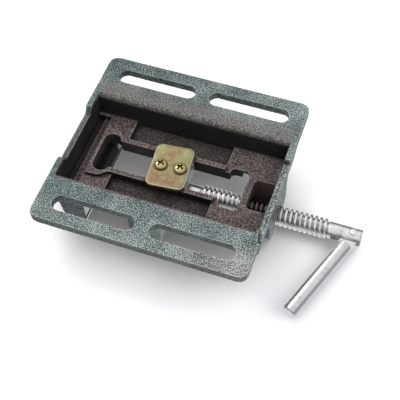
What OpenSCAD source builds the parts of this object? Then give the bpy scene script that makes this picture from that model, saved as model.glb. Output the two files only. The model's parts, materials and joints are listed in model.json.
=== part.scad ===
// Drill press vise: a cast base with four mounting slots and a fixed jaw, a sliding jaw
// held down in a guide slot by a plate, a trapezoidal lead screw and a folding handle.
// +X runs along the lead screw toward the handle and +Z is up, with the jaws on top.
// The origin is the centre of the mounting slot pattern, on the base's underside.

/* [Base] */
// Length of the base along the lead screw
base_len = 130; // [130:0.5:133]
// Width of the base over both flanges
base_w = 125; // [123:0.5:130]
// Corner radius of the base
corner_r = 5; // [3:0.5:7]
// Thickness of the side flanges
flange_t = 5.5; // [5:0.5:7]
// Height of the bed's sliding face
bed_top = 22; // [21.5:0.25:22.5]
// Thickness of the end walls
end_wall_t = 3.5; // [3:0.25:4]

/* [Mounting slots] */
// Distance between the two slot centres of one flange
slot_pitch_x = 59.4; // [58:0.2:61]
// Distance between the slots of the two flanges
slot_pitch_y = 99; // [98:0.5:102]
// Overall length of a slot
slot_len = 50.4; // [46:0.2:52]
// Width of a slot
slot_w = 9.5; // [8:0.5:11]

/* [Guide slot] */
// Half width of the guide slot
guide_half = 9.9; // [9.5:0.1:10.2]
// Half width over the two ribs along the guide slot
rib_half = 13.1; // [12.5:0.1:14]
// Height of the ribs' lower faces above the underside
rib_low = 12.4; // [12:0.1:13]
// Height of the bed's underside at both ends
bed_low = 15; // [14.5:0.25:15.5]
// Height of the floor of the two side pockets
pocket_low = 18.5; // [17.5:0.25:19]

/* [Jaws] */
// Width of the jaws
jaw_w = 70; // [66:1:72]
// Height of the jaws' top faces
jaw_top = 38.5; // [38.5:0.5:41]
// Gap between the gripping faces as drawn
jaw_gap = 28.5; // [24:0.5:30]
// Thickness of the jaw plates
jaw_plate_t = 3.7; // [3:0.1:4]
// Height of the jaw plates
jaw_plate_h = 15.2; // [14:0.2:15.6]
// Thickness of the guide plate under the sliding jaw
guide_plate_t = 3; // [2.5:0.1:3.4]
// Angle by which the guide plate sits askew on its screws
guide_plate_turn = -5; // [-5:0.5:5]

/* [Lead screw] */
// Outside diameter of the thread
screw_d = 12; // [11:0.5:12.5]
// Lead of the thread
screw_lead = 3; // [3:0.5:3.5]
// Height of the screw's axis
screw_z = 30; // [29.5:0.25:30]
// Diameter of the plain end that carries the handle
screw_end_d = 10; // [9.5:0.5:11]

/* [Handle] */
// Diameter of the handle bar
handle_d = 9; // [8:0.5:9.5]
// Length from the rivet to the end of the bar
handle_len = 63; // [50:1:75]
// Angle of the bar from the screw's outward direction as drawn
handle_angle = 109.6; // [60:0.2:115]

/* [Hidden] */
$fn = 64;

eps = 0.01;
slide_gap = 0.1;
run_gap = 0.05;
half_len = base_len / 2;

// Base body and cavity: half widths across the bed at the heights named
body_half_low = 36.5;
body_half_top = 34.4;
cavity_half_low = 33.7;
cavity_half_top = 28.3;
inner_end = half_len - end_wall_t;
trench_end = -57;
ledge_end = -52.6;
trench_low = 20;
ledge_low = 17.5;
end_top = 63.1;
left_notch = [[20.2, 0], [17.6, 4.5]];
right_notch_low = 4;
right_notch_far = -19.4;
right_notch_near = 38.7;
corner_left_r = 3.5;
corner_right_r = 4.5;

// Fixed jaw and bracket
fixed_face = -45.7;
fixed_seat = fixed_face - jaw_plate_t;
bracket_half = 17;
bracket_top = jaw_top - 0.5;
bracket_corner = 9;
bracket_in = 43;
slot_head_half = 14;
relief_in = 37.6;
relief_half = 18.5;
relief_low = 17.2;
bracket_well_in = 47;
bracket_well_out = 60.6;
bracket_step = 57;
bracket_well_r = 3;
bracket_well_half = 10.2;
bracket_well_top = 34.5;

// Sliding jaw, with its tongue in the guide slot
moving_face = fixed_face + jaw_gap;
moving_seat = moving_face + jaw_plate_t;
moving_back = moving_face + 20.8;
boss_back = moving_back + 2.3;
tongue_front = moving_face + 3;
tongue_back = moving_face + 26;
guide_plate_x = moving_face + 14.4;
guide_plate_top = rib_low - slide_gap;
guide_plate_size = [23.6, 30.4];
guide_screw_pitch = 12;
guide_screw_turn = -3.4;
guide_screw_shift = [0.4, 0.5, 0];
guide_screw_d = 4;
guide_head_d = 8;
guide_head_h = 2.5;
jaw_screw_pitch = 42;
jaw_screw_d = 5;
jaw_screw_head_d = 9.6;
jaw_screw_len = 12;
jaw_head_h = (jaw_screw_head_d - jaw_screw_d) / 2;
jaw_head_low = jaw_plate_t - 0.3 - jaw_head_h;

// Lead screw stations along X
journal_d = 9;
journal_tip = moving_seat + 3.6;
groove_x = journal_tip + 4.6;
groove_d = 6.4;
groove_w = 3.2;
pin_d = 3;
pin_y = (groove_d + pin_d) / 2 + run_gap;
pin_low = bed_top + 3;
thread_start = moving_face + 31.8;
thread_turns = 27;
thread_depth = 1.75;
thread_end = thread_start + thread_turns * screw_lead;
rivet_x = thread_end + 14.5;
screw_tip = rivet_x + 5.2;
fork_root = thread_end + 2.2;
fork_gap = 4;
tongue_t = fork_gap - 2 * slide_gap;
rivet_d = 4;
rivet_head_d = 4.8;
rivet_head_h = 0.6;
shoulder = 8;

paint = [0.27, 0.36, 0.34];
zinc_yellow = [0.72, 0.66, 0.42];
steel = [0.78, 0.78, 0.78];
dark_steel = [0.35, 0.36, 0.37];

// Rounded rectangle from (x0, y0) to (x1, y1), with true arcs at the corners
module rounded_rect(x0, y0, x1, y1, r) {
    translate([x0 + r, y0]) square([x1 - x0 - 2 * r, y1 - y0]);
    translate([x0, y0 + r]) square([x1 - x0, y1 - y0 - 2 * r]);
    for (x = [x0 + r, x1 - r], y = [y0 + r, y1 - r])
        translate([x, y]) circle(r);
}

// Extrudes a (y, z) outline along X, from x0 to x1
module along_x(x0, x1) {
    translate([x0, 0, 0]) rotate([90, 0, 90]) linear_extrude(x1 - x0) children();
}

// Extrudes an (x, z) outline along Y, centred on the X-Z plane
module along_y(w) {
    translate([0, w / 2, 0]) rotate([90, 0, 0]) linear_extrude(w) children();
}

// Box from its lowest corner to its highest corner
module block(low, high) {
    translate(low) cube(high - low);
}

// Round bar along X, from x0 to x1
module bar_x(x0, x1, d) {
    translate([x0, 0, 0]) rotate([0, 90, 0]) cylinder(h = x1 - x0, d = d);
}

// ---- Base ----

module flange_outline() {
    difference() {
        rounded_rect(-half_len, -base_w / 2, half_len, base_w / 2, corner_r);
        for (x = [-1, 1], y = [-1, 1])
            translate([x * slot_pitch_x / 2, y * slot_pitch_y / 2])
                rounded_rect(-slot_len / 2, -slot_w / 2, slot_len / 2, slot_w / 2, slot_w / 2 - eps);
    }
}

module body_section() {
    polygon([[-body_half_low, 0], [body_half_low, 0], [body_half_low - 0.6, flange_t],
        [body_half_top, bed_top], [-body_half_top, bed_top], [0.6 - body_half_low, flange_t]]);
}

// Length of the body in (x, z), with the end walls leaning in above the flanges
module end_section() {
    polygon([[-half_len, 0], [half_len, 0], [half_len, flange_t], [end_top, bed_top],
        [-end_top, bed_top], [-half_len, flange_t]]);
}

module cavity_section() {
    half = [[0, cavity_half_low], [1, 32], [3, 30.9], [7, 30.2], [pocket_low, cavity_half_top]];
    right = [for (p = half) [p[1], p[0]]];
    left = [for (i = [len(half) - 1:-1:0]) [-half[i][1], half[i][0]]];
    polygon(concat([[cavity_half_low, -1]], right, left, [[-cavity_half_low, -1]]));
}

// Raised rim round the wide left end of the guide slot, and the two ribs along it
module rib_outline() {
    half = [[-51.2, 16.6], [-50.2, 17.6], [-43.6, 17.4], [-41.4, 16.4], [-39.6, 14.4],
        [-37.4, rib_half], [28, rib_half]];
    mirrored = [for (i = [len(half) - 1:-1:0]) [half[i][0], -half[i][1]]];
    polygon(concat(half, mirrored));
}

module guide_slot_outline() {
    translate([-41, -guide_half]) square([73, 2 * guide_half]);
    rounded_rect(-49.2, -13.6, -39, 13.6, 4.4);
    rounded_rect(31.2, -slot_head_half, bracket_in, slot_head_half, 3);
}

// Rim of the right end wall, cut back from the far side to a point short of the near flange
module right_notch_outline() {
    polygon([[inner_end - eps, right_notch_far], [half_len + 1, right_notch_far],
        [half_len + 1, right_notch_near], [half_len - 1.2, right_notch_near],
        [inner_end + 1, cavity_half_low - 1.5],
        [inner_end - eps, cavity_half_low - corner_right_r]]);
}

// Notch in the left end wall's rim, with leaning sides, as a (y, z) outline
module left_notch_outline() {
    polygon([[left_notch[0][0] + 0.6, -1], [left_notch[0][0], left_notch[0][1]], left_notch[1],
        [-left_notch[1][0], left_notch[1][1]], [-left_notch[0][0], left_notch[0][1]],
        [-left_notch[0][0] - 0.6, -1]]);
}

// Rounded upright corner of the cavity: sx and sy say which one
module cavity_corner(sx, sy, r) {
    mirror([sx < 0 ? 1 : 0, 0, 0]) mirror([0, sy < 0 ? 1 : 0, 0])
        translate([inner_end - r, cavity_half_low - r, -2])
            linear_extrude(bed_low + 2) difference() {
                square(r + 1);
                circle(r);
            }
}

module cavity() {
    difference() {
        union() {
            intersection() {
                along_x(-inner_end, inner_end) cavity_section();
                block([-base_len, -base_w, -2], [base_len, base_w, bed_low]);
            }
            intersection() {
                along_x(-35.6, 27.4) cavity_section();
                block([-base_len, -base_w, 0], [base_len, base_w, pocket_low]);
            }
            block([-inner_end, -27, 0], [trench_end, 27, trench_low]);
            block([trench_end - eps, -27, 0], [ledge_end, 27, ledge_low]);
        }
        translate([0, 0, rib_low]) linear_extrude(bed_top - rib_low) rib_outline();
        cavity_corner(1, 1, corner_right_r);
        cavity_corner(-1, 1, corner_left_r);
        cavity_corner(-1, -1, corner_left_r);
    }
}

module bracket_outline(half, top, r) {
    rounded_rect(-half, bed_low - 2, half, top, r);
    polygon([[-half - 8, 8], [half + 8, 8], [half + 2, 12], [half, 20],
        [-half, 20], [-half - 2, 12]]);
}

module end_bracket() {
    along_x(bracket_step, half_len - 0.5)
        bracket_outline(bracket_half, bracket_top, bracket_corner);
    along_x(bracket_in, bracket_step + eps)
        bracket_outline(bracket_half - 2, bracket_top - 0.4, bracket_corner);
}

module fixed_jaw_block() {
    along_y(jaw_w)
        polygon([[-63.7, bed_low + 1], [-end_top, bed_top], [-61.6, jaw_top - 4], [-60.9, jaw_top - 1.6],
            [-59.2, jaw_top], [fixed_seat - 0.6, jaw_top], [fixed_seat, jaw_top - 0.6],
            [fixed_seat, bed_top - 1], [-53, bed_low + 3]]);
}

module jaw_screw_holes(face, into) {
    for (y = [-1, 1])
        translate([0, y * jaw_screw_pitch / 2, screw_z])
            bar_x(min(face, into), max(face, into), jaw_screw_d);
}

module base_casting() {
    color(paint)
    difference() {
        union() {
            linear_extrude(flange_t) flange_outline();
            intersection() {
                along_x(-half_len, half_len) body_section();
                along_y(base_w) end_section();
            }
            fixed_jaw_block();
            end_bracket();
        }
        cavity();
        translate([0, 0, rib_low - 1]) linear_extrude(bed_top) guide_slot_outline();
        // Well under the bracket, open to the cavity and crossed by the screw
        translate([0, 0, bed_low - 1]) linear_extrude(bracket_well_top - bed_low + 1)
            rounded_rect(bracket_well_in, -bracket_well_half, bracket_well_out, bracket_well_half,
                bracket_well_r);
        // Threaded bore of the bracket, drawn at the thread's outside diameter
        translate([0, 0, screw_z]) bar_x(bracket_in - 5, half_len + 5, screw_d + 2 * run_gap);
        // Rims of both end walls cut back where the base rests on its flanges alone
        along_x(-half_len - 1, -inner_end + eps) left_notch_outline();
        translate([0, 0, -1]) linear_extrude(right_notch_low + 1) right_notch_outline();
        // Relief cast into the bed's top beside the right end of the guide slot
        block([relief_in, -relief_half, relief_low], [bracket_in, 1 - slot_head_half, bed_top + 1]);
        jaw_screw_holes(fixed_seat + 1, fixed_seat - jaw_screw_len);
    }
}

// ---- Jaw plates and their screws ----

// Jaw plate with its back on x = 0 and its gripping face at +X, cut by grooves for round work
module jaw_plate(with_upright_groove) {
    low = bed_top + 0.8;
    mid = low + jaw_plate_h / 2;
    difference() {
        block([0, -jaw_w / 2, low], [jaw_plate_t, jaw_w / 2, low + jaw_plate_h]);
        for (y = [-1, 1])
            translate([0, y * jaw_screw_pitch / 2, screw_z]) {
                bar_x(-1, jaw_plate_t + 1, jaw_screw_d + 0.4);
                translate([jaw_head_low, 0, 0]) rotate([0, 90, 0])
                    cylinder(h = jaw_head_h, d1 = jaw_screw_d + 0.4, d2 = jaw_screw_head_d + 0.4);
                bar_x(jaw_head_low + jaw_head_h - eps, jaw_plate_t + 1, jaw_screw_head_d + 0.4);
            }
        translate([jaw_plate_t + 1.2, 0, mid + 4.4]) rotate([0, 45, 0])
            cube([3.6, jaw_w + 2, 3.6], center = true);
        if (with_upright_groove)
            translate([jaw_plate_t + 2, 0, 0]) rotate([0, 0, 45])
                translate([0, 0, mid]) cube([5.6, 5.6, jaw_plate_h + 2], center = true);
    }
}

// Countersunk socket screw along X: head flush below the gripping face, shank into the jaw
module jaw_screw() {
    difference() {
        union() {
            translate([jaw_head_low, 0, 0]) rotate([0, 90, 0])
                cylinder(h = jaw_head_h, d1 = jaw_screw_d, d2 = jaw_screw_head_d);
            bar_x(-jaw_screw_len, jaw_head_low + eps, jaw_screw_d);
        }
        translate([jaw_plate_t - 2, 0, 0]) rotate([0, 90, 0]) cylinder(h = 3, d = 3.46, $fn = 6);
    }
}

module at_fixed_seat() {
    translate([fixed_seat, 0, 0]) children();
}

module at_moving_seat() {
    translate([moving_seat, 0, 0]) mirror([1, 0, 0]) children();
}

module fixed_jaw_plate() {
    color(dark_steel) at_fixed_seat() jaw_plate(false);
}

module moving_jaw_plate() {
    color(dark_steel) at_moving_seat() jaw_plate(true);
}

module screw_at_side(side) {
    translate([0, side * jaw_screw_pitch / 2, screw_z]) jaw_screw();
}

module fixed_jaw_screw_left() {
    color(steel) at_fixed_seat() screw_at_side(1);
}

module fixed_jaw_screw_right() {
    color(steel) at_fixed_seat() screw_at_side(-1);
}

module moving_jaw_screw_left() {
    color(steel) at_moving_seat() screw_at_side(1);
}

module moving_jaw_screw_right() {
    color(steel) at_moving_seat() screw_at_side(-1);
}

// ---- Sliding jaw ----

module moving_jaw() {
    low = bed_top + slide_gap;
    color(paint)
    difference() {
        union() {
            along_y(jaw_w)
                polygon([[moving_seat, low], [moving_seat, jaw_top - 0.6], [moving_seat + 0.6, jaw_top],
                    [moving_back - 2.6, jaw_top], [moving_back - 0.7, jaw_top - 1.4],
                    [moving_back, low]]);
            block([tongue_front, -guide_half + slide_gap, guide_plate_top],
                [tongue_back, guide_half - slide_gap, low + 0.4]);
            translate([0, 0, screw_z]) bar_x(moving_back - 3, boss_back, 2 * (screw_z - low) - 0.4);
        }
        translate([0, 0, screw_z]) bar_x(journal_tip - 1, boss_back + 1, journal_d + 2 * run_gap);
        for (y = [-1, 1])
            translate([groove_x, y * pin_y, pin_low])
                cylinder(h = jaw_top, d = pin_d);
        for (side = [-1, 1])
            at_guide_screw(side) translate([0, 0, guide_plate_t - 1]) cylinder(h = 10, d = guide_screw_d);
        jaw_screw_holes(moving_seat - 1, moving_seat + jaw_screw_len);
    }
}

module guide_plate() {
    sx = guide_plate_size[0] / 2;
    sy = guide_plate_size[1] / 2;
    color(zinc_yellow)
    difference() {
        translate([guide_plate_x, 0, guide_plate_top - guide_plate_t]) linear_extrude(guide_plate_t)
            rotate(guide_plate_turn) rounded_rect(-sx, -sy, sx, sy, 4);
        for (side = [-1, 1])
            at_guide_screw(side) translate([0, 0, -1])
                cylinder(h = guide_plate_t + 2, d = guide_screw_d + 0.8);
    }
}

// Places its children under the guide plate on one of the two screws' axes
module at_guide_screw(side) {
    translate([guide_plate_x, 0, guide_plate_top - guide_plate_t]) translate(guide_screw_shift)
        rotate(guide_screw_turn) translate([side * guide_screw_pitch / 2, 0, 0]) children();
}

// Cross recess pan head screw, head down, seated on z = 0 with its shank up
module guide_screw() {
    dome_r = 6.6;
    color(zinc_yellow)
    difference() {
        union() {
            intersection() {
                translate([0, 0, dome_r - guide_head_h]) sphere(dome_r);
                translate([0, 0, -guide_head_h]) cylinder(h = guide_head_h, d = guide_head_d);
            }
            translate([0, 0, -eps]) cylinder(h = guide_plate_t + 8, d = guide_screw_d);
        }
        for (a = [0, 90])
            rotate([0, 0, a + 20]) translate([-2.2, -0.45, -guide_head_h - 1]) cube([4.4, 0.9, 2.6]);
    }
}

module guide_screw_front() {
    at_guide_screw(-1) guide_screw();
}

module guide_screw_rear() {
    at_guide_screw(1) guide_screw();
}

// ---- Lead screw ----

// Radius profile of the screw along its axis: journal, groove, thread rings and plain end
function screw_profile() =
    let (crest = screw_d / 2, root = crest - thread_depth, flank = thread_depth * tan(15),
        land = screw_lead / 2 - flank - 0.05, j = journal_d / 2, e = screw_end_d / 2)
    concat(
        [[0, journal_tip], [j - 0.6, journal_tip], [j, journal_tip + 0.6],
            [j, groove_x - groove_w / 2], [groove_d / 2, groove_x - groove_w / 2],
            [groove_d / 2, groove_x + groove_w / 2], [j, groove_x + groove_w / 2],
            [j, thread_start]],
        [for (i = [0:thread_turns - 1], p = [[root, 0.1], [crest, 0.1 + flank],
            [crest, 0.1 + flank + land], [root, 0.1 + 2 * flank + land]])
            [p[0], thread_start + i * screw_lead + p[1]]],
        [[root, thread_end], [e, thread_end], [e, screw_tip - 0.8], [e - 0.8, screw_tip],
            [0, screw_tip]]);

module lead_screw() {
    color(steel)
    translate([0, 0, screw_z])
        difference() {
            rotate([0, 90, 0]) rotate_extrude() polygon(screw_profile());
            block([fork_root, -screw_d, -fork_gap / 2], [screw_tip + 1, screw_d, fork_gap / 2]);
            translate([rivet_x, 0, -screw_d]) cylinder(h = 2 * screw_d, d = rivet_d);
        }
}

module retaining_pin(side) {
    color(dark_steel)
    translate([groove_x, side * pin_y, pin_low])
        difference() {
            cylinder(h = jaw_top - 0.4 - pin_low, d = pin_d);
            translate([0, 0, -1]) cylinder(h = jaw_top, d = pin_d - 1.2);
        }
}

module screw_retaining_pin_left() {
    retaining_pin(1);
}

module screw_retaining_pin_right() {
    retaining_pin(-1);
}

// ---- Handle ----

module handle_bar() {
    r = handle_d / 2;
    color(steel)
    translate([rivet_x, 0, screw_z]) rotate([0, 0, handle_angle])
        difference() {
            union() {
                translate([0, 0, -tongue_t / 2]) {
                    cylinder(h = tongue_t, r = r);
                    block([0, -r, 0], [shoulder + 1, r, tongue_t]);
                }
                rotate([0, 90, 0]) rotate_extrude()
                    polygon([[0, shoulder], [r - 0.6, shoulder], [r, shoulder + 0.6],
                        [r, handle_len - 0.8], [r - 0.8, handle_len], [0, handle_len]]);
            }
            translate([0, 0, -tongue_t]) cylinder(h = 2 * tongue_t, d = rivet_d + 2 * run_gap);
        }
}

module handle_rivet() {
    reach = screw_end_d / 2;
    color(steel)
    translate([rivet_x, 0, screw_z]) {
        cylinder(h = 2 * reach, d = rivet_d, center = true);
        for (s = [-1, 1])
            translate([0, 0, s * (reach + rivet_head_h / 2)])
                cylinder(h = rivet_head_h, d = rivet_head_d, center = true);
    }
}

base_casting();
fixed_jaw_plate();
fixed_jaw_screw_left();
fixed_jaw_screw_right();
moving_jaw();
moving_jaw_plate();
moving_jaw_screw_left();
moving_jaw_screw_right();
guide_plate();
guide_screw_front();
guide_screw_rear();
lead_screw();
screw_retaining_pin_left();
screw_retaining_pin_right();
handle_bar();
handle_rivet();
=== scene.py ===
"""Looks of the drill press vise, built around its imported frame.

The vise is drawn in its working position, base down. The camera looks up at its underside, and the
table it lies on, jaws against the table, is the one-sided floor through the jaws' top faces. A second
one-sided floor under the base serves the views from above.
"""

import json
import math

import bmesh
import bpy
import numpy as np
from mathutils import Matrix, Vector, noise


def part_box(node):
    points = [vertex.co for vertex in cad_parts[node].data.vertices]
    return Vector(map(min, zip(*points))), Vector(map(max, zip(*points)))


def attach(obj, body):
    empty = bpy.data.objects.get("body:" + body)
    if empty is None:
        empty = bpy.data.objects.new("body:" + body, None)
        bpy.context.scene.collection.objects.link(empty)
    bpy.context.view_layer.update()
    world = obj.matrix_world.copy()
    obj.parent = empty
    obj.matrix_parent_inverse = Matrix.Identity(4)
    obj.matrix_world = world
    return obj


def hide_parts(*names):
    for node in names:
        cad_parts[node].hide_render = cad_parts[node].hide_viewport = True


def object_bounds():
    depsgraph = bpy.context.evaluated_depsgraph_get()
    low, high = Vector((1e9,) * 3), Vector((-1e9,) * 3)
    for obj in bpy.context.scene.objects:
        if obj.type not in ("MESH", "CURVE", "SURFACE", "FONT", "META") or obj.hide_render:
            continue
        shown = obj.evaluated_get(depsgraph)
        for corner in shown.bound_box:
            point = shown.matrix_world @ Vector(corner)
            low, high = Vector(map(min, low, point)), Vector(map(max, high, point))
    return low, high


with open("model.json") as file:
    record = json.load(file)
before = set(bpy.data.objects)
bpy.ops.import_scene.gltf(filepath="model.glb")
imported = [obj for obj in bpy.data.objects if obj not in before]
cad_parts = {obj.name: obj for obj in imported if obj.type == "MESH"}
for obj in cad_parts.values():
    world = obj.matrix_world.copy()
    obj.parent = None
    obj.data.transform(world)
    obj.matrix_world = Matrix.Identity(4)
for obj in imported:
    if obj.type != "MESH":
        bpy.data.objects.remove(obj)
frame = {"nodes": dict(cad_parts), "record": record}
cad_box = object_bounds()

MM = 0.001

# Places and sizes that the looks share with the CAD, in millimetres and degrees
SCREW_Z = 30.0
SCREW_D = 12.0
LEAD = 3.0
THREAD_DEPTH = 1.75
THREAD_START, THREAD_END = 15.6, 95.6
JOURNAL_TIP, GROOVE_START, GROOVE_END = -9.9, -6.9, -3.7
JOURNAL_R, GROOVE_R = 4.5, 3.2
TAIL_R, TAIL_TIP = 5.0, 115.3
FORK_ROOT = 97.8
RIVET_X = 110.1
RIVET_R = 2.0
HANDLE_R = 4.5
HANDLE_SHOULDER, HANDLE_TIP = 8.0, 63.0
HANDLE_ANGLE = 109.6
PLATE_HALF = (11.8, 15.2)
PLATE_CORNER_R = 4.0
PLATE_TURN = -5.0
PAN_HEAD_H = 2.5

OPENNESS_SAMPLES = 12


# ---- Materials ----


class Nodes:
    """Short names for building one shader node tree."""

    def __init__(self, tree):
        self.tree = tree
        tree.nodes.clear()

    def add(self, kind, **settings):
        node = self.tree.nodes.new(kind)
        for key, value in settings.items():
            setattr(node, key, value)
        return node

    def put(self, socket, value):
        """Links an output to a socket, or sets the socket's own value."""
        if isinstance(value, bpy.types.NodeSocket):
            self.tree.links.new(value, socket)
        elif isinstance(value, tuple) and len(value) == 3 and socket.type == "RGBA":
            socket.default_value = (*value, 1.0)
        else:
            socket.default_value = value

    def axes(self, vector):
        """The X, Y and Z of a vector output."""
        node = self.add("ShaderNodeSeparateXYZ")
        self.put(node.inputs[0], vector)
        return node.outputs

    def calc(self, operation, a, b=0.0, c=0.0):
        node = self.add("ShaderNodeMath", operation=operation)
        for socket, value in zip(node.inputs, (a, b, c)):
            self.put(socket, value)
        return node.outputs[0]

    def chain(self, operation, first, *others):
        for other in others:
            first = self.calc(operation, first, other)
        return first

    def total(self, *values):
        return self.chain("ADD", *values)

    def product(self, *values):
        return self.chain("MULTIPLY", *values)

    def largest(self, *values):
        return self.chain("MAXIMUM", *values)

    def size(self, value):
        """The value without its sign."""
        return self.calc("ABSOLUTE", value)

    def step(self, value, low, high, to_low=0.0, to_high=1.0):
        """Smooth change from to_low at value low to to_high at value high."""
        node = self.add("ShaderNodeMapRange", interpolation_type="SMOOTHSTEP")
        limits = {"From Min": low, "From Max": high, "To Min": to_low, "To Max": to_high}
        for key, limit in limits.items():
            self.put(node.inputs[key], limit)
        self.put(node.inputs["Value"], value)
        return node.outputs["Result"]

    def fall(self, value, low, high, from_low=1.0):
        """Smooth fall from from_low at value low to 0 at value high."""
        return self.step(value, low, high, from_low, 0.0)

    def within(self, value, low, high, soft):
        """1 between low and high, with 0 at both and a rise of width soft inside each."""
        return self.product(self.step(value, low, low + soft), self.fall(value, high - soft, high))

    def mixed(self, kind, share, a, b):
        node = self.add("ShaderNodeMix", data_type=kind)
        for key, value in (("Factor", share), ("A", a), ("B", b)):
            self.put(node.inputs[key], value)
        return node.outputs["Result"]

    def mix(self, share, a, b):
        """Colour a, or b where the share is 1."""
        return self.mixed("RGBA", share, a, b)

    def blend(self, share, a, b):
        """Number a, or b where the share is 1."""
        return self.mixed("FLOAT", share, a, b)

    def openness(self, reach):
        """1 in the open, less near surfaces closer than reach, in metres."""
        node = self.add("ShaderNodeAmbientOcclusion", samples=OPENNESS_SAMPLES)
        node.inputs["Distance"].default_value = reach
        return node.outputs["AO"]


class Paint(Nodes):
    """One procedural material. Its patterns are laid out in millimetres in the part's own frame."""

    def __init__(self, name):
        self.material = bpy.data.materials.new(name)
        self.material.use_nodes = True
        super().__init__(self.material.node_tree)
        self.bsdf = self.add("ShaderNodeBsdfPrincipled")
        out = self.add("ShaderNodeOutputMaterial")
        self.put(out.inputs["Surface"], self.bsdf.outputs[0])
        self.coords = self.add("ShaderNodeTexCoord")
        grow = self.add("ShaderNodeVectorMath", operation="SCALE")
        grow.inputs["Scale"].default_value = 1.0 / MM
        self.put(grow.inputs[0], self.coords.outputs["Object"])
        self.mm = grow.outputs[0]
        self.x, self.y, self.z = self.axes(self.mm)

    def lean(self):
        """The X, Y and Z of the surface's own direction in the part's frame."""
        return self.axes(self.coords.outputs["Normal"])

    def shifted(self, by):
        node = self.add("ShaderNodeVectorMath", operation="ADD")
        node.inputs[1].default_value = by
        self.put(node.inputs[0], self.mm)
        return node.outputs[0]

    def stretched(self, sx, sy, sz):
        """The coordinates, shrunk along each axis, so that a pattern stretches along it."""
        node = self.add("ShaderNodeVectorMath", operation="MULTIPLY")
        node.inputs[1].default_value = (sx, sy, sz)
        self.put(node.inputs[0], self.mm)
        return node.outputs[0]

    def noise(self, period, detail=2.0, rough=0.5, twist=0.0, at=None):
        node = self.add("ShaderNodeTexNoise")
        self.put(node.inputs["Vector"], at or self.mm)
        node.inputs["Scale"].default_value = 1.0 / period
        node.inputs["Detail"].default_value = detail
        node.inputs["Roughness"].default_value = rough
        node.inputs["Distortion"].default_value = twist
        return node.outputs["Fac"]

    def ramp(self, value, *stops):
        node = self.add("ShaderNodeValToRGB")
        self.put(node.inputs[0], value)
        elements = node.color_ramp.elements
        while len(elements) < len(stops):
            elements.new(0.5)
        for element, (at, colour) in zip(elements, stops):
            element.position = at
            element.color = (*colour, 1.0)
        return node.outputs["Color"]

    def bump(self, height, depth):
        """Bump of a height field given from 0 to 1 and its depth in millimetres."""
        node = self.add("ShaderNodeBump")
        node.inputs["Strength"].default_value = 1.0
        node.inputs["Distance"].default_value = depth * MM
        self.put(node.inputs["Height"], height)
        return node.outputs[0]

    def finish(self, colour, rough, metal, normal, specular=0.5):
        self.put(self.bsdf.inputs["Base Color"], colour)
        self.put(self.bsdf.inputs["Roughness"], rough)
        self.put(self.bsdf.inputs["Metallic"], metal)
        self.put(self.bsdf.inputs["Normal"], normal)
        self.bsdf.inputs["Specular IOR Level"].default_value = specular
        return self.material


# Colours of each casting finish where its tone is low, middle and high, and those tones
GREEN_PAINT = ((0.012, 0.030, 0.027), (0.072, 0.108, 0.102), (0.37, 0.40, 0.385))
# Paler, warmer copy of the paint, used for the painted light on its +X, +Y side
WARM_LIT_PAINT = ((0.030, 0.031, 0.029), (0.128, 0.126, 0.119), (0.44, 0.435, 0.415))
PAINT_TONES = (0.42, 0.50, 0.59)
RAW_CAST = ((0.020, 0.013, 0.012), (0.068, 0.052, 0.048), (0.20, 0.172, 0.16))
RAW_TONES = (0.36, 0.50, 0.66)
GREY_CAST = ((0.060, 0.062, 0.056), (0.130, 0.133, 0.123), (0.270, 0.275, 0.255))
GREY_TONES = (0.34, 0.50, 0.66)
SHADE_GREEN = (0.020, 0.030, 0.027)
# Near black for painted shade in the cavity, over the casting's dark skin
SKIN_AND_SHADE_BLACK = (0.005, 0.0045, 0.0045)
WELL_BROWN = (0.16, 0.115, 0.105)

# Colours of the metals over their stains or marks, as (place on the noise, colour)
TURNED_STEEL = ((0.32, (0.46, 0.45, 0.43)), (0.46, (0.70, 0.69, 0.68)), (0.68, (0.82, 0.815, 0.81)))
DRAWN_STEEL = ((0.30, (0.44, 0.43, 0.43)), (0.42, (0.64, 0.635, 0.63)), (0.7, (0.72, 0.715, 0.71)))
GROUND_STEEL = ((0.3, (0.30, 0.298, 0.295)), (0.7, (0.50, 0.495, 0.49)))
BLACKENED_STEEL = ((0.35, (0.05, 0.05, 0.055)), (0.65, (0.16, 0.16, 0.165)))
ZINC_FILM = (
    (0.34, (0.15, 0.11, 0.05)), (0.42, (0.21, 0.14, 0.07)), (0.49, (0.20, 0.19, 0.075)),
    (0.55, (0.18, 0.19, 0.085)), (0.62, (0.25, 0.23, 0.12)), (0.70, (0.22, 0.22, 0.12)))
STEEL_SHADE = (0.05, 0.048, 0.045)
THREAD_ROOT_DARK = (0.10, 0.095, 0.09)
# Painted shade, with some grease, for the thread inside the bracket's well
WELL_GREASE_AND_SHADE = (0.05, 0.038, 0.032)
# Painted shade, with grease, for the jaw plates' faces and undersides
JAW_GREASE_AND_SHADE = (0.009, 0.0085, 0.008)
STRAW = (0.46, 0.39, 0.16)
ZINC_BLUSH = (0.16, 0.085, 0.05)
# Painted highlight on the zinc's rounded lower edge
ZINC_RIM_HIGHLIGHT = (0.74, 0.70, 0.50)
ZINC_SHADE = (0.010, 0.008, 0.005)

PAINT_METAL = 0.2

# Low and high end of a noise, where a change that follows it starts and stops
NOISE_SPAN = (0.3, 0.7)

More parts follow.
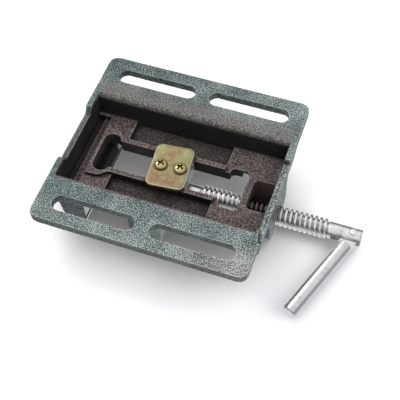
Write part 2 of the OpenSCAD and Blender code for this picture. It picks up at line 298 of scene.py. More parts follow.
# Starts and stops of changes of finish, in millimetres along the axis or radius that each one names
# The paler and warmer changes along X and Y are painted light, brighter on the +X, +Y side
PAINTED_LIGHT_ALONG_X, PAINTED_LIGHT_ALONG_Y = (-60.0, 70.0), (34.0, 62.0)
WARM_LIGHT_ALONG_X, WARM_LIGHT_ALONG_Y = (0.0, 58.0), (40.0, 58.0)
GREYER_ALONG_Y = (-34.0, -25.0)
BARE_FROM_FAR_Y, BARE_TO_NEAR_Y = (-47.0, -35.0), (32.8, 34.0)
END_WALL_SKIN_X, BED_SKIN_Z = (61.2, 62.4), (21.3, 21.9)
FAR_WALL_OUTSIDE_Y = (-30.0, -26.0)
WELL_X, WELL_HALF_Y, WELL_FLOOR_Z, WELL_TOP_Z = (45.6, 61.8), 11.2, (15.2, 15.8), (34.9, 35.4)
SLOT_END_X, SLOT_END_HALF_Y = (-62.4, -44.4), 18.4
SLOT_END_LOW_Z, SLOT_END_TOP_Z = (21.4, 23.0), (35.0, 36.5)
NOTCH_RIM_Z, NOTCH_RIM_X = (2.4, 3.6), (-60.6, -61.4)
THREAD_ROOT_DARK_R = (4.4, 5.7)
# Where the screw's thread is painted dark in the well
WELL_SHADE_X, WELL_SHADE_EDGE = (45.5, 62.0), 2.0
PLATE_BLUSH_Y = (1.0, 9.0)
JAW_FACE_TOP_Z, JAW_FACE_LOW_Z, JAW_SHADE_HALF_Y = (36.8, 38.2), (23.2, 24.0), (18.0, 26.0)
WALL_SHADE_Z, POCKET_Z = (1.0, 4.0), (17.9, 18.4)
MASK_EDGE = 0.4

# The same for a part of the surface's own direction, from -1 to 1
FACES_LEFT, FACES_FAR, FACES_DOWN, FACES_UP = (-0.7, -0.4), (-0.6, -0.3), (-0.85, -0.6), (0.3, 0.6)
STANDS_UPRIGHT = (0.35, 0.75)


def edge_wear_and_light(p):
    """How far a spot stands proud of its surroundings: 0 in a corner, 0.5 on a flat, 1 on an edge."""
    shape = p.add("ShaderNodeNewGeometry")
    return p.step(shape.outputs["Pointiness"], 0.44, 0.56)


def corners(p, reach, low, high, depth):
    """Share of shade in inside corners closer than reach, in millimetres, up to depth."""
    return p.fall(p.openness(reach * MM), low, high, depth)


def speckle(p, period, seed, edge, edge_gain):
    """Coarse grain, and the tone that it and a slow drift over the casting give, painted lighter on edges, as
    worn paint and painted highlight, and darker in inside corners, as painted shade.
    """
    grain = p.noise(period, rough=0.62, at=p.shifted(seed))
    drift = p.noise(16.0)
    tone = p.total(p.product(grain, 0.84), p.product(drift, 0.16))
    return grain, p.total(tone, p.product(p.calc("SUBTRACT", edge, 0.5), edge_gain))


def hammered(p, edge):
    """Green hammered paint: colour, roughness and grain. Painted light makes it paler and warmer towards +X
    and +Y, and painted shade darkens its inside corners.
    """
    grain, tone = speckle(p, 0.6, (3.0, 9.0, 3.53), edge, 0.16)
    # Painted light: the paint turns paler towards +X and +Y, and paler and warmer in the +X, +Y corner
    lit_along_x = p.step(p.x, *PAINTED_LIGHT_ALONG_X, -0.016, 0.020)
    tone = p.total(tone, lit_along_x, p.step(p.y, *PAINTED_LIGHT_ALONG_Y, -0.022, 0.002))
    colour = p.ramp(tone, *zip(PAINT_TONES, GREEN_PAINT))
    warm_lit_corner = p.product(p.step(p.x, *WARM_LIGHT_ALONG_X), p.step(p.y, *WARM_LIGHT_ALONG_Y))
    colour = p.mix(p.product(warm_lit_corner, 0.75), colour, p.ramp(tone, *zip(PAINT_TONES, WARM_LIT_PAINT)))
    # Painted shade in inside corners
    colour = p.mix(corners(p, 3.0, 0.45, 0.95, 0.7), colour, GREEN_PAINT[0])
    return colour, p.step(grain, *NOISE_SPAN, 0.5, 0.34), grain


def cast_jaw_material(name):
    """Hammered paint all over."""
    p = Paint(name)
    green, gloss, grain = hammered(p, edge_wear_and_light(p))
    return p.finish(green, gloss, PAINT_METAL, p.bump(grain, 0.10))


def bare_places(p, lean):
    """Shares of bare casting: in all, in the bracket's well and at the slot's fixed jaw end."""
    wander = p.product(p.calc("SUBTRACT", p.noise(9.0, detail=3.0), 0.5), 9.0)
    cavity = p.product(
        p.step(p.total(p.y, wander), *BARE_FROM_FAR_Y), p.fall(p.y, *BARE_TO_NEAR_Y),
        p.fall(p.size(p.x), *END_WALL_SKIN_X), p.fall(p.z, *BED_SKIN_Z))
    outer_side = p.largest(p.fall(lean["Y"], *FACES_FAR), p.step(lean["Z"], *FACES_UP))
    outer_side = p.product(outer_side, p.fall(p.y, *FAR_WALL_OUTSIDE_Y))
    cavity = p.product(cavity, p.calc("SUBTRACT", 1.0, outer_side))
    well = p.product(
        p.within(p.x, *WELL_X, MASK_EDGE), p.within(p.y, -WELL_HALF_Y, WELL_HALF_Y, MASK_EDGE),
        p.step(p.z, *WELL_FLOOR_Z), p.fall(p.z, *WELL_TOP_Z))
    slot_end = p.product(
        p.within(p.x, *SLOT_END_X, MASK_EDGE), p.within(p.y, -SLOT_END_HALF_Y, SLOT_END_HALF_Y, MASK_EDGE),
        p.step(p.z, *SLOT_END_LOW_Z), p.fall(p.z, *SLOT_END_TOP_Z), p.step(lean["X"], *FACES_LEFT))
    notch_rim = p.product(
        p.fall(lean["Z"], *FACES_DOWN), p.step(p.z, *NOTCH_RIM_Z), p.step(p.x, *NOTCH_RIM_X), 0.75)
    return p.largest(cavity, well, slot_end, notch_rim), well, slot_end


def cast_base_material(name):
    """Hammered paint outside, and bare casting in the cavity, painted darker on its walls, in its pockets and
    corners and at the slot's fixed jaw end, as painted shade over a dark casting skin.
    """
    p = Paint(name)
    edge = edge_wear_and_light(p)
    green, gloss, grain = hammered(p, edge)
    lean = p.lean()
    bare, well, slot_end = bare_places(p, lean)
    raw_grain, tone = speckle(p, 0.9, (11.0, 2.0, 8.0), edge, 0.30)
    raw = p.ramp(tone, *zip(RAW_TONES, RAW_CAST))
    grey = p.ramp(raw_grain, *zip(GREY_TONES, GREY_CAST))
    raw = p.mix(p.fall(p.y, *GREYER_ALONG_Y, 0.75), raw, grey)
    wall = p.product(p.fall(p.size(lean["Z"]), *STANDS_UPRIGHT), p.calc("SUBTRACT", 1.0, well))
    pocket = p.product(p.step(p.z, *POCKET_Z), p.blend(well, 0.6, 0.0))
    # Painted shade: the cavity's upright walls, its pockets, inside corners and the slot's fixed jaw end are
    # darkened towards black, partly the casting's dark skin
    for share in (p.product(wall, p.step(p.z, *WALL_SHADE_Z), 0.92), pocket,
                  corners(p, 2.2, 0.4, 0.92, 0.85), p.product(slot_end, 0.85)):
        raw = p.mix(share, raw, SKIN_AND_SHADE_BLACK)
    raw = p.mix(p.product(well, 0.6), raw, WELL_BROWN)
    # Painted shade on the painted upright walls
    green = p.mix(p.product(wall, 0.45), green, SHADE_GREEN)
    height = p.bump(p.blend(bare, grain, raw_grain), 0.12)
    return p.finish(p.mix(bare, green, raw), p.blend(bare, gloss, 0.7), p.blend(bare, PAINT_METAL, 0.0),
                    height, specular=0.22)


def bright_steel(name, enclosed=False):
    """Bright steel with fine turning marks round the X axis, faint stains, slightly darker thread roots and
    painted shade in inside corners.
    """
    p = Paint(name)
    marks = p.noise(0.5, detail=3.0, at=p.stretched(5.0, 0.1, 0.1))
    stain = p.noise(5.0, detail=4.0, rough=0.6)
    colour = p.ramp(stain, *TURNED_STEEL)
    height = p.calc("SUBTRACT", p.z, SCREW_Z)
    radius = p.calc("SQRT", p.total(p.product(p.y, p.y), p.product(height, height)))
    in_thread = p.within(p.x, THREAD_START, THREAD_END, 0.8)
    # Slightly darker towards the thread's roots
    colour = p.mix(p.product(in_thread, p.fall(radius, *THREAD_ROOT_DARK_R, 0.1)), colour, THREAD_ROOT_DARK)
    colour = p.mix(corners(p, 1.0, 0.35, 0.85, 0.55), colour, STEEL_SHADE)
    if enclosed:
        # The part of the thread inside the bracket's well is painted dark, as painted shade with some grease,
        # and this stays in the well wherever the screw stands
        place = p.axes(p.add("ShaderNodeNewGeometry").outputs["Position"])
        inside = p.within(place["X"], *(x * MM for x in (*WELL_SHADE_X, WELL_SHADE_EDGE)))
        colour = p.mix(p.product(inside, 0.92), colour, WELL_GREASE_AND_SHADE)
    return p.finish(colour, p.step(stain, *NOISE_SPAN, 0.36, 0.22), 1.0, p.bump(marks, 0.002))


def drawn_bar(name):
    """Drawn steel bar with marks along the X axis."""
    p = Paint(name)
    marks = p.noise(0.5, detail=3.0, at=p.stretched(0.03, 2.2, 2.2))
    stain = p.noise(4.0, detail=4.0, rough=0.65)
    colour = p.ramp(stain, *DRAWN_STEEL)
    colour = p.mix(corners(p, 1.0, 0.35, 0.85, 0.55), colour, STEEL_SHADE)
    return p.finish(colour, p.step(marks, *NOISE_SPAN, 0.26, 0.34), 1.0, p.bump(marks, 0.001))


def yellow_zinc(name, strength):
    """Yellow zinc passivate. Where the strength is 1, its film drifts from straw to pink and green. It has a
    painted highlight along its rounded lower edge and painted shade in inside corners.
    """
    p = Paint(name)
    film = p.noise(8.0, detail=3.0, rough=0.55, twist=1.2)
    colour = p.mix(strength, STRAW, p.ramp(film, *ZINC_FILM))
    blush = p.step(p.noise(5.0, detail=3.0, rough=0.6), 0.36, 0.62)
    near_side = p.product(p.step(p.y, *PLATE_BLUSH_Y), p.blend(blush, 0.25, 0.95))
    colour = p.mix(p.product(near_side, strength), colour, ZINC_BLUSH)
    # Painted highlight: a pale rim on the rounded lower edge
    tilt = p.lean()["Z"]
    rim_highlight = p.product(p.step(tilt, -0.985, -0.9), p.fall(tilt, -0.5, -0.2, 0.8))
    colour = p.mix(p.product(rim_highlight, strength), colour, ZINC_RIM_HIGHLIGHT)
    colour = p.mix(corners(p, 1.6, 0.42, 0.9, 0.95), colour, ZINC_SHADE)
    fine = p.noise(0.6)
    duller = 0.12 * strength
    rough = p.step(fine, *NOISE_SPAN, 0.22 + duller, 0.34 + duller)
    return p.finish(colour, rough, 0.9 - 0.25 * strength, p.bump(fine, 0.008))


def dark_steel(name):
    """Blackened steel with a fine mottle."""
    p = Paint(name)
    fine = p.noise(0.5, detail=3.0)
    colour = p.ramp(fine, *BLACKENED_STEEL)
    return p.finish(colour, p.step(fine, *NOISE_SPAN, 0.3, 0.5), 0.9, p.bump(fine, 0.01))


def jaw_plate_material(name):
    """Steel jaw plate: ground on its two large faces and sprayed green elsewhere, and near black over the
    middle of its faces and on its underside, as grease and painted shade.
    """
    p = Paint(name)
    green, gloss, grain = hammered(p, 0.5)
    lean = p.axes(p.add("ShaderNodeNewGeometry").outputs["True Normal"])
    face = p.step(p.size(lean["X"]), 0.6, 0.9)
    marks = p.noise(0.5, detail=3.0, at=p.stretched(1.0, 0.06, 3.0))
    steel = p.ramp(marks, *GROUND_STEEL)
    # Painted shade, with grease: near black over the middle of the faces below their top and on the underside
    shaded_greasy = p.largest(p.product(face, p.fall(p.z, *JAW_FACE_TOP_Z)), p.fall(p.z, *JAW_FACE_LOW_Z))
    shade_and_grease = p.product(shaded_greasy, p.fall(p.size(p.y), *JAW_SHADE_HALF_Y))
    rough = p.blend(shade_and_grease, p.blend(face, gloss, 0.34), 0.85)
    metal = p.blend(shade_and_grease, p.blend(face, PAINT_METAL, 1.0), 0.0)
    colour = p.mix(shade_and_grease, p.mix(face, green, steel), JAW_GREASE_AND_SHADE)
    return p.finish(colour, rough, metal, p.bump(p.blend(face, grain, marks), 0.03), specular=0.08)


cast_base = cast_base_material("cast_base")
cast_jaw = cast_jaw_material("cast_jaw")
steel_round = bright_steel("steel_round")
steel_thread = bright_steel("steel_thread", enclosed=True)
steel_bar = drawn_bar("steel_bar")
zinc = yellow_zinc("yellow_zinc", 1.0)
zinc_head = yellow_zinc("yellow_zinc_head", 0.2)
jaw_steel = jaw_plate_material("jaw_steel")
black_steel = dark_steel("black_steel")

NODE_MATERIALS = {
    "base_casting": cast_base, "moving_jaw": cast_jaw,
    "fixed_jaw_plate": jaw_steel, "moving_jaw_plate": jaw_steel,
    "guide_plate": zinc, "guide_screw_front": zinc, "guide_screw_rear": zinc,
    "lead_screw": steel_round, "handle_bar": steel_bar, "handle_rivet": steel_bar}
for name, node in frame["nodes"].items():
    node.data.materials.clear()
    node.data.materials.append(NODE_MATERIALS.get(name, black_steel))


# ---- Mesh tools ----


def new_object(name, mesh, material):
    """Object with the mesh, smooth shaded and of one material."""
    piece = bpy.data.objects.new(name, mesh)
    bpy.context.scene.collection.objects.link(piece)
    mesh.materials.clear()
    mesh.materials.append(material)
    for face in mesh.polygons:
        face.use_smooth = True
    return piece


def applied(piece, *modifiers):
    """Adds each (kind, settings) modifier, and makes what they give the piece's own mesh."""
    for kind, settings in modifiers:
        modifier = piece.modifiers.new(kind.lower(), kind)
        for key, value in settings.items():
            setattr(modifier, key, value)
    graph = bpy.context.evaluated_depsgraph_get()
    made = bpy.data.meshes.new_from_object(piece.evaluated_get(graph), depsgraph=graph)
    piece.modifiers.clear()
    old, piece.data = piece.data, made
    bpy.data.meshes.remove(old)
    return piece


def cut(piece, *tools, operation="DIFFERENCE"):
    """Boolean of the piece with each tool, and the tools taken away."""
    common = {"operation": operation, "solver": "EXACT"}
    applied(piece, *[("BOOLEAN", {**common, "object": tool}) for tool in tools])
    for tool in tools:
        bpy.data.objects.remove(tool)
    return piece


def rounded(piece, width, angle=35.0):
    """Bevels the edges sharper than the angle, in degrees, with the width in millimetres."""
    settings = {"width": width * MM, "segments": 2, "angle_limit": math.radians(angle)}
    applied(piece, ("BEVEL", settings))
    for face in piece.data.polygons:
        face.use_smooth = True
    return applied(piece, ("WEIGHTED_NORMAL", {"keep_sharp": False}))


def stands_for(piece, node_name):
    """Hides the CAD node that the piece stands for, and puts the piece on that node's body."""
    body = next(b for b, names in frame["record"]["behaviour"]["bodies"].items() if node_name in names)
    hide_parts(node_name)
    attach(piece, body)
    return piece


def box_mm(node_name):
    """A CAD node's lowest and highest corners at rest, in millimetres."""
    return [[c / MM for c in corner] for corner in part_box(node_name)]


def ring_mesh(name, rings):
    """Closed mesh through rings of points in millimetres, each ring a list of the same length."""
    mesh = bpy.data.meshes.new(name)
    n = len(rings[0])
    points = [tuple(c * MM for c in point) for ring in rings for point in ring]
    faces = [(i * n + j, i * n + (j + 1) % n, (i + 1) * n + (j + 1) % n, (i + 1) * n + j)
             for i in range(len(rings) - 1) for j in range(n)]
    faces.append(tuple(range(n - 1, -1, -1)))
    faces.append(tuple((len(rings) - 1) * n + j for j in range(n)))
    mesh.from_pydata(points, [], faces)
    mesh.validate()
    return mesh


def turned(name, profile, centre=(0, 0, 0), axis="x", steps=96):
    """Turned solid: profile gives (place along the axis, radius) in millimetres from one end to the other."""
    rings = []
    for along, radius in profile:
        ring = []
        for k in range(steps):
            turn = 2.0 * math.pi * k / steps
            a, b = radius * math.cos(turn), radius * math.sin(turn)
            spot = {"x": (along, a, b), "z": (a, b, along)}[axis]
            ring.append([c + s for c, s in zip(centre, spot)])
        rings.append(ring)
    mesh = ring_mesh(name, rings)
    work = bmesh.new()
    work.from_mesh(mesh)
    bmesh.ops.recalc_face_normals(work, faces=work.faces)
    work.to_mesh(mesh)
    work.free()
    return mesh


def mirrored(half_profile):
    """A turned profile whose second half is the first one seen in a mirror."""
    return [(-along, radius) for along, radius in half_profile] + half_profile[::-1]


def slab(name, outline, z0, z1):
    """Upright prism over an outline of (x, y) points, in millimetres."""
    return ring_mesh(name, [[(x, y, z) for x, y in outline] for z in (z0, z1)])


def arc(cx, cy, r, start, end, steps):
    """Points of an arc from one angle to the other, in degrees."""
    angles = [math.radians(start + (end - start) * k / steps) for k in range(steps + 1)]
    return [(cx + r * math.cos(angle), cy + r * math.sin(angle)) for angle in angles]


def rectangle(x0, y0, x1, y1):
    """Corners from one corner to the opposite one."""
    return [(x0, y0), (x1, y0), (x1, y1), (x0, y1)]


def rounded_rectangle(half_w, half_h, r):
    """Outline round the origin, with corners of radius r."""
    quarters = ((1, 1, 0), (-1, 1, 90), (-1, -1, 180), (1, -1, 270))
    return [spot for sx, sy, start in quarters
            for spot in arc(sx * (half_w - r), sy * (half_h - r), r, start, start + 90, 12)]


# ---- Castings ----

CAST_VOXEL = 0.5
CAST_SMOOTHINGS = 3
CAST_RELIEF = 0.09
FINE_DIMPLE_SHIFT = Vector((7.0, 3.0, 5.0))


def cast_relief(at):
    """Height of the hammered relief at a place in millimetres: slow waves, lumps and fine dimples."""
    return (0.5 * noise.noise(at / 6.0) + 0.7 * noise.noise(at / 1.6)
            + 0.6 * noise.noise(at / 0.9 + FINE_DIMPLE_SHIFT))


def welded_copy(node_name):
    """The CAD node's mesh as a new mesh, with the corners of neighbouring faces joined."""
    mesh = frame["nodes"][node_name].data.copy()
    mesh.name = node_name + "_skin"
    work = bmesh.new()
    work.from_mesh(mesh)
    bmesh.ops.remove_doubles(work, verts=work.verts, dist=0.01 * MM)
    work.to_mesh(mesh)
    work.free()
    return mesh


def cast_skin(node_name, material):
    """The CAD casting with its edges rounded as sand leaves them, and a hammered relief on its skin."""
    piece = new_object(node_name + "_skin", welded_copy(node_name), material)
    applied(piece, ("REMESH", {"mode": "VOXEL", "voxel_size": CAST_VOXEL * MM, "use_smooth_shade": True}),
            ("SMOOTH", {"factor": 0.5, "iterations": CAST_SMOOTHINGS}))
    mesh = piece.data
    spots = np.empty(len(mesh.vertices) * 3, np.float32)
    mesh.vertices.foreach_get("co", spots)
    outward = np.empty_like(spots)
    mesh.vertex_normals.foreach_get("vector", outward)
    spots, outward = spots.reshape(-1, 3), outward.reshape(-1, 3)
    swell = np.array([cast_relief(Vector(spot) / MM) for spot in spots.tolist()], np.float32)
    spots += outward * (swell * CAST_RELIEF * MM)[:, None]
    mesh.vertices.foreach_set("co", spots.ravel())
    mesh.update()
    return stands_for(piece, node_name)


cast_skin("base_casting", cast_base)
cast_skin("moving_jaw", cast_jaw)

# The jaw plates keep their CAD meshes, with the sharp edges just broken
for name in ("fixed_jaw_plate", "moving_jaw_plate"):
    edge = frame["nodes"][name].modifiers.new("edge", "BEVEL")
    edge.width, edge.segments, edge.angle_limit = 0.3 * MM, 2, math.radians(40)
    edge.harden_normals = True


# ---- Lead screw and rivet ----

# One lead of the thread as (share of the lead, share of the depth), crest first
THREAD_SHAPE = [(0.0, 1.0), (0.08, 1.0), (0.40, 1.0), (0.48, 0.9), (0.63, 0.12), (0.69, 0.0), (0.79, 0.0),
                (0.85, 0.12), (0.98, 0.9)]
FADE_IN, FADE_OUT = 0.8 * LEAD, 0.5 * LEAD


def threaded_rod(name, x0, x1, steps=64):
    """Rod along X with one right-hand trapezoidal thread that fades out at both ends."""
    turns = int((x1 - x0) / LEAD) + 2
    places = [((k + share) * LEAD, height) for k in range(-1, turns) for share, height in THREAD_SHAPE]
    work = bmesh.new()
    grid = []
    for step in range(steps):
        angle = 2.0 * math.pi * step / steps
        row = []
        for place, height in places:
            x = min(max(x0 + place + LEAD * step / steps, x0), x1)
            fade = min(1.0, max(0.0, (x - x0) / FADE_IN), max(0.0, (x1 - x) / FADE_OUT))
            r = SCREW_D / 2.0 - THREAD_DEPTH * (1.0 - height * fade)
            spot = Vector((x, r * math.cos(angle), SCREW_Z + r * math.sin(angle)))
            row.append(work.verts.new(spot * MM))
        grid.append(row)
    for step in range(steps):
        # After a full turn the surface joins on one lead further along
        further = len(THREAD_SHAPE) if step == steps - 1 else 0
        row, following = grid[step], grid[(step + 1) % steps][further:]
        for corners_of_face in zip(row, row[1:], following[1:], following):
            work.faces.new(corners_of_face)
    bmesh.ops.remove_doubles(work, verts=work.verts, dist=0.002 * MM)
    bmesh.ops.dissolve_degenerate(work, dist=0.001 * MM, edges=work.edges)
    bmesh.ops.recalc_face_normals(work, faces=work.faces)
    rims = [edge for edge in work.edges if len(edge.link_faces) == 1]
    bmesh.ops.holes_fill(work, edges=rims, sides=0)
    mesh = bpy.data.meshes.new(name)
    work.to_mesh(mesh)
    work.free()
    return mesh


# Turned outlines as (place, radius): the small steps are chamfers and rounded edges
JOURNAL = [
    (JOURNAL_TIP, 0.2), (JOURNAL_TIP, 3.9), (-9.3, JOURNAL_R),
    (GROOVE_START - 0.05, JOURNAL_R), (GROOVE_START, JOURNAL_R - 0.05),
    (GROOVE_START, GROOVE_R + 0.05), (GROOVE_START + 0.05, GROOVE_R),
    (GROOVE_END - 0.05, GROOVE_R), (GROOVE_END, GROOVE_R + 0.05),
    (GROOVE_END, JOURNAL_R - 0.05), (GROOVE_END + 0.05, JOURNAL_R),
    (THREAD_START - 0.4, JOURNAL_R), (THREAD_START + 0.1, 4.2), (THREAD_START + 0.1, 0.2)]
TAIL = [
    (THREAD_END - 0.3, 0.2), (THREAD_END - 0.3, 4.3), (THREAD_END + 0.1, 4.9), (THREAD_END + 0.5, TAIL_R),
    (TAIL_TIP - 0.7, TAIL_R), (TAIL_TIP - 0.2, 4.75), (TAIL_TIP, 4.2), (TAIL_TIP, 0.2)]
RIVET_HALF = [
    (5.6, 0.1), (5.56, 1.3), (5.4, 1.9), (5.15, 2.3), (4.8, 2.4), (4.3, 2.4), (4.3, RIVET_R - 0.05)]
HANDLE = [
    (HANDLE_SHOULDER, 0.2), (HANDLE_SHOULDER, 3.9), (8.2, 4.3), (8.7, HANDLE_R),
    (HANDLE_TIP - 1.0, HANDLE_R), (HANDLE_TIP - 0.4, 4.25), (HANDLE_TIP, 3.7), (HANDLE_TIP, 0.2)]
FORK_HALF_GAP = 2.0
TONGUE_HALF = 1.9
ON_AXIS = (0, 0, SCREW_Z)
AT_RIVET = (RIVET_X, 0, SCREW_Z)

thread = new_object("screw_thread", threaded_rod("screw_thread", THREAD_START, THREAD_END), steel_thread)
journal = new_object("screw_journal", turned("screw_journal", JOURNAL, ON_AXIS), steel_round)
tail = new_object("screw_tail", turned("screw_tail", TAIL, ON_AXIS), steel_round)
fork_gap = slab("slot_tool", rectangle(FORK_ROOT, -9, TAIL_TIP + 4.7, 9),
                SCREW_Z - FORK_HALF_GAP, SCREW_Z + FORK_HALF_GAP)
rivet_hole = turned("hole_tool", [(-8, RIVET_R), (8, RIVET_R)], AT_RIVET, "z", 48)
cut(tail, new_object("slot_tool", fork_gap, steel_round), new_object("hole_tool", rivet_hole, steel_round))
rounded(tail, 0.15)
rivet = new_object("rivet", turned("rivet", mirrored(RIVET_HALF), AT_RIVET, "z", 48), steel_round)
for piece in (thread, journal, tail):
    stands_for(piece, "lead_screw")
stands_for(rivet, "handle_rivet")


# ---- Handle ----

# It is drawn along its own X axis from the rivet, then turned into place
handle = new_object("handle", turned("handle", HANDLE), steel_bar)
tongue_outline = arc(0, 0, HANDLE_R, 90, 270, 32) + [(9.5, -4.4), (9.5, 4.4)]
tongue = slab("tongue_tool", tongue_outline, -TONGUE_HALF, TONGUE_HALF)
cut(handle, new_object("tongue_tool", tongue, steel_bar), operation="UNION")
eye = turned("eye_tool", [(-4, RIVET_R + 0.05), (4, RIVET_R + 0.05)], axis="z", steps=48)
cut(handle, new_object("eye_tool", eye, steel_bar))
rounded(handle, 0.2)
handle.matrix_world = (Matrix.Translation(Vector(AT_RIVET) * MM)
                       @ Matrix.Rotation(math.radians(HANDLE_ANGLE), 4, "Z"))
stands_for(handle, "handle_bar")


# ---- Guide plate and its screws ----


def plate_rings():
    """Stamped edge: rounded below and nearly sharp above, as rings of (inset, height)."""
    (x0, y0, low), (x1, y1, high) = box_mm("guide_plate")
    turn = Matrix.Rotation(math.radians(PLATE_TURN), 2)
    rings = []
    for inset, z in ((1.5, low), (0.75, low), (0.3, low + 0.12), (0.08, low + 0.4), (0.0, low + 0.8),
                     (0.0, high - 0.15), (0.15, high)):
        half_w, half_h = (half - inset for half in PLATE_HALF)
        outline = rounded_rectangle(half_w, half_h, PLATE_CORNER_R - 0.8 * inset)
        spots = [turn @ Vector(spot) for spot in outline]
        rings.append([((x0 + x1) / 2 + spot.x, (y0 + y1) / 2 + spot.y, z) for spot in spots])
    return rings


def pan_head(node_name, turn_deg):
    """Pan head cross recess screw, head down."""
    (x0, y0, top), (x1, y1, end) = box_mm(node_name)
    x, y, seat = (x0 + x1) / 2, (y0 + y1) / 2, top + PAN_HEAD_H
    dome = [(0.0, 0.1), (0.02, 1.4), (0.14, 2.2), (0.42, 2.95), (0.9, 3.55), (1.45, 3.9), (2.0, 4.0)]
    profile = [(top + depth, r) for depth, r in dome]
    profile += [(seat - 0.15, 3.97), (seat, 3.8), (seat, 2.0), (end - 0.5, 2.0), (end, 1.5), (end, 0.1)]
    name = node_name + "_skin"
    head = new_object(name, turned(name, profile, (x, y, 0), "z", 64), zinc_head)
    arms = []
    for k in (0, 1):
        turn = Matrix.Rotation(math.radians(turn_deg + 90 * k), 2)
        rings = []
        for half_l, half_w, z in ((2.85, 0.82, top - 0.5), (1.3, 0.46, top + 1.7)):
            spots = [turn @ Vector(spot) for spot in rectangle(-half_l, -half_w, half_l, half_w)]
            rings.append([(x + spot.x, y + spot.y, z) for spot in spots])
        arms.append(new_object("arm_tool", ring_mesh("arm_tool", rings), zinc_head))
    cut(head, *arms)
    rounded(head, 0.08, 50.0)
    return stands_for(head, node_name)


plate = new_object("guide_plate_skin", ring_mesh("guide_plate_skin", plate_rings()), zinc)
applied(plate, ("WEIGHTED_NORMAL", {"keep_sharp": False}))
stands_for(plate, "guide_plate")
pan_head("guide_screw_front", 17.0)
pan_head("guide_screw_rear", 24.0)


# ---- Stage ----

FLOOR_HALF = 3.0
FLOOR_GAP = 0.0001
CONTACT_REACH = 0.09
PAPER = (0.9, 0.9, 0.9)
CONTACT_SHADE = (0.27, 0.26, 0.265)
TENT_COLOUR = (0.97, 0.95, 1.0, 1.0)


def one_sided_floor(name, z, up):
    """Pale floor seen only from its own side, which takes shadows and casts none, with painted shade where
    the vise comes close.
    """
    mesh = bpy.data.meshes.new(name)
    outline = rectangle(-FLOOR_HALF, -FLOOR_HALF, FLOOR_HALF, FLOOR_HALF)
    mesh.from_pydata([(x, y, z) for x, y in outline], [], [(0, 1, 2, 3) if up else (3, 2, 1, 0)])
    floor = bpy.data.objects.new(name, mesh)
    bpy.context.scene.collection.objects.link(floor)
    material = bpy.data.materials.new(name)
    material.use_nodes = True
    n = Nodes(material.node_tree)
    pale = n.add("ShaderNodeBsdfDiffuse")
    # Painted shade on the paper where the vise comes close
    n.put(pale.inputs["Color"], n.mix(n.step(n.openness(CONTACT_REACH), 0.15, 0.72), CONTACT_SHADE, PAPER))
    glow = n.add("ShaderNodeEmission")
    glow.inputs["Strength"].default_value = 0.1
    paper = n.add("ShaderNodeAddShader")
    n.put(paper.inputs[0], pale.outputs[0])
    n.put(paper.inputs[1], glow.outputs[0])
    pick = n.add("ShaderNodeMixShader")
    n.put(pick.inputs[0], n.add("ShaderNodeNewGeometry").outputs["Backfacing"])
    n.put(pick.inputs[1], paper.outputs[0])
    n.put(pick.inputs[2], n.add("ShaderNodeBsdfTransparent").outputs[0])
    n.put(n.add("ShaderNodeOutputMaterial").inputs["Surface"], pick.outputs[0])
    mesh.materials.append(material)
    floor.visible_shadow = False
    floor.visible_diffuse = False
    floor.visible_glossy = False
    floor.visible_transmission = False


def lamp(name, at, size, power, colour=(1.0, 1.0, 1.0), glossy=False):
    """Square lamp that points at the vise. Only a glossy one shows in reflections."""
    data = bpy.data.lights.new(name, "AREA")
    data.shape = "SQUARE"
    data.size = size
    data.energy = power
    data.color = colour
    light = bpy.data.objects.new(name, data)
    light.location = at
    light.rotation_mode = "QUATERNION"
    light.rotation_quaternion = (Vector((0.0, 0.0, 0.02)) - Vector(at)).to_track_quat("-Z", "Y")
    light.visible_glossy = glossy
    bpy.context.scene.collection.objects.link(light)


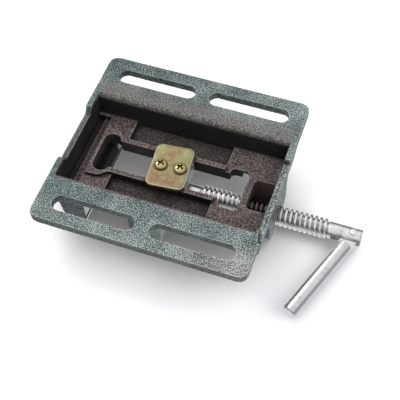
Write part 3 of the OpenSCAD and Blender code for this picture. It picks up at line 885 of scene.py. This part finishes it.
def studio_world():
    """Pale tent: brighter from the far side, above and below the table, and dim from the near side."""
    world = bpy.data.worlds.new("studio")
    world.use_nodes = True
    n = Nodes(world.node_tree)
    toward = n.add("ShaderNodeTexCoord").outputs["Generated"]
    lobes = []
    for direction in ((-0.30, -0.50, -0.81), (-0.30, -0.50, 0.81)):
        facing = n.add("ShaderNodeVectorMath", operation="DOT_PRODUCT")
        facing.inputs[1].default_value = direction
        n.put(facing.inputs[0], toward)
        lobes.append(n.step(facing.outputs["Value"], -0.35, 0.45, 0.12, 0.84))
    axes = n.axes(toward)
    # Polished steel mirrors a simpler tent: dark at the horizon, and pale towards +X
    steep = n.step(n.size(axes["Z"]), 0.12, 0.62, 0.14, 1.0)
    reflected = n.largest(steep, n.step(axes["X"], -0.1, 0.9, 0.0, 0.42))
    seen = n.add("ShaderNodeLightPath")
    strength = n.blend(seen.outputs["Is Glossy Ray"], n.total(*lobes), reflected)
    strength = n.blend(seen.outputs["Is Camera Ray"], strength, 1.0)
    sky = n.add("ShaderNodeBackground")
    sky.inputs["Color"].default_value = TENT_COLOUR
    n.put(sky.inputs["Strength"], strength)
    n.put(n.add("ShaderNodeOutputWorld").inputs["Surface"], sky.outputs[0])
    bpy.context.scene.world = world


one_sided_floor("table_at_jaws", cad_box[1].z + FLOOR_GAP, up=False)
one_sided_floor("floor_at_base", cad_box[0].z - FLOOR_GAP, up=True)
lamp("key_low", (-0.75, -0.45, -1.15), 0.9, 9.5, (1.0, 0.985, 0.97), glossy=True)
lamp("side_low", (0.62, 0.10, -0.45), 0.5, 2.4)
lamp("key_high", (-0.9, -0.8, 0.9), 0.9, 24.0)
lamp("side_high", (1.2, -0.6, 0.5), 0.7, 6.0)
studio_world()
bpy.context.scene.view_settings.view_transform = "Standard"


# ---- Camera ----

CAMERA_AT = Vector((0.1352, 0.2762, -0.4229))
CAMERA_RIGHT = Vector((0.939, -0.3413, 0.0408)).normalized()
CAMERA_DOWN = Vector((0.2651, 0.7947, 0.5460)).normalized()
CAMERA_LENS_MM = 80.66
SENSOR_MM = 36.0
NEAREST_SEEN = 0.01

camera = bpy.data.objects.new("camera", bpy.data.cameras.new("camera"))
bpy.context.scene.collection.objects.link(camera)
forward = CAMERA_RIGHT.cross(CAMERA_DOWN).normalized()
down = forward.cross(CAMERA_RIGHT)
facing = Matrix((CAMERA_RIGHT, -down, -forward)).transposed().to_4x4()
camera.matrix_world = Matrix.Translation(CAMERA_AT) @ facing
camera.data.lens = CAMERA_LENS_MM
camera.data.sensor_width = SENSOR_MM
camera.data.clip_start = NEAREST_SEEN
bpy.context.scene.camera = camera
